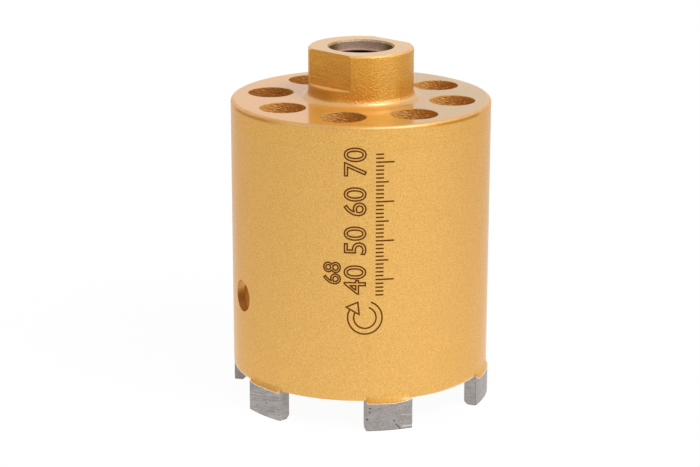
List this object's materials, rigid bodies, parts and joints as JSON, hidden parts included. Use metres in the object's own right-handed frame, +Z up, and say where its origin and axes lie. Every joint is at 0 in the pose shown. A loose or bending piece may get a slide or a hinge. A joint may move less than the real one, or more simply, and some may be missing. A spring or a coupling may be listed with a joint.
{
  "type": "hole saw",
  "caption": "Dry diamond core cutter: an open steel tube with sintered tips round its rim, closed by a drilled end cap with a threaded hub and spanner flats.",
  "frame": {"origin": "on the axis, in the plane of the tips' cutting edges, where the cutter stands", "axes": "+Z up the axis from the tips to the hub; -Y is the front, 12.6 degrees from the first tip's middle"},
  "size_m": [0.0674, 0.068, 0.0921],
  "materials": {
    "gold_paint": "satin metallic gold paint",
    "sintered_metal": "matt grey sintered metal, ground outside"
  },
  "bodies": {
    "root": {"barrel": "gold_paint", "end_cap": "gold_paint", "tip_1": "sintered_metal", "tip_2": "sintered_metal", "tip_3": "sintered_metal", "tip_4": "sintered_metal", "tip_5": "sintered_metal", "tip_6": "sintered_metal"}
  },
  "joints": []
}
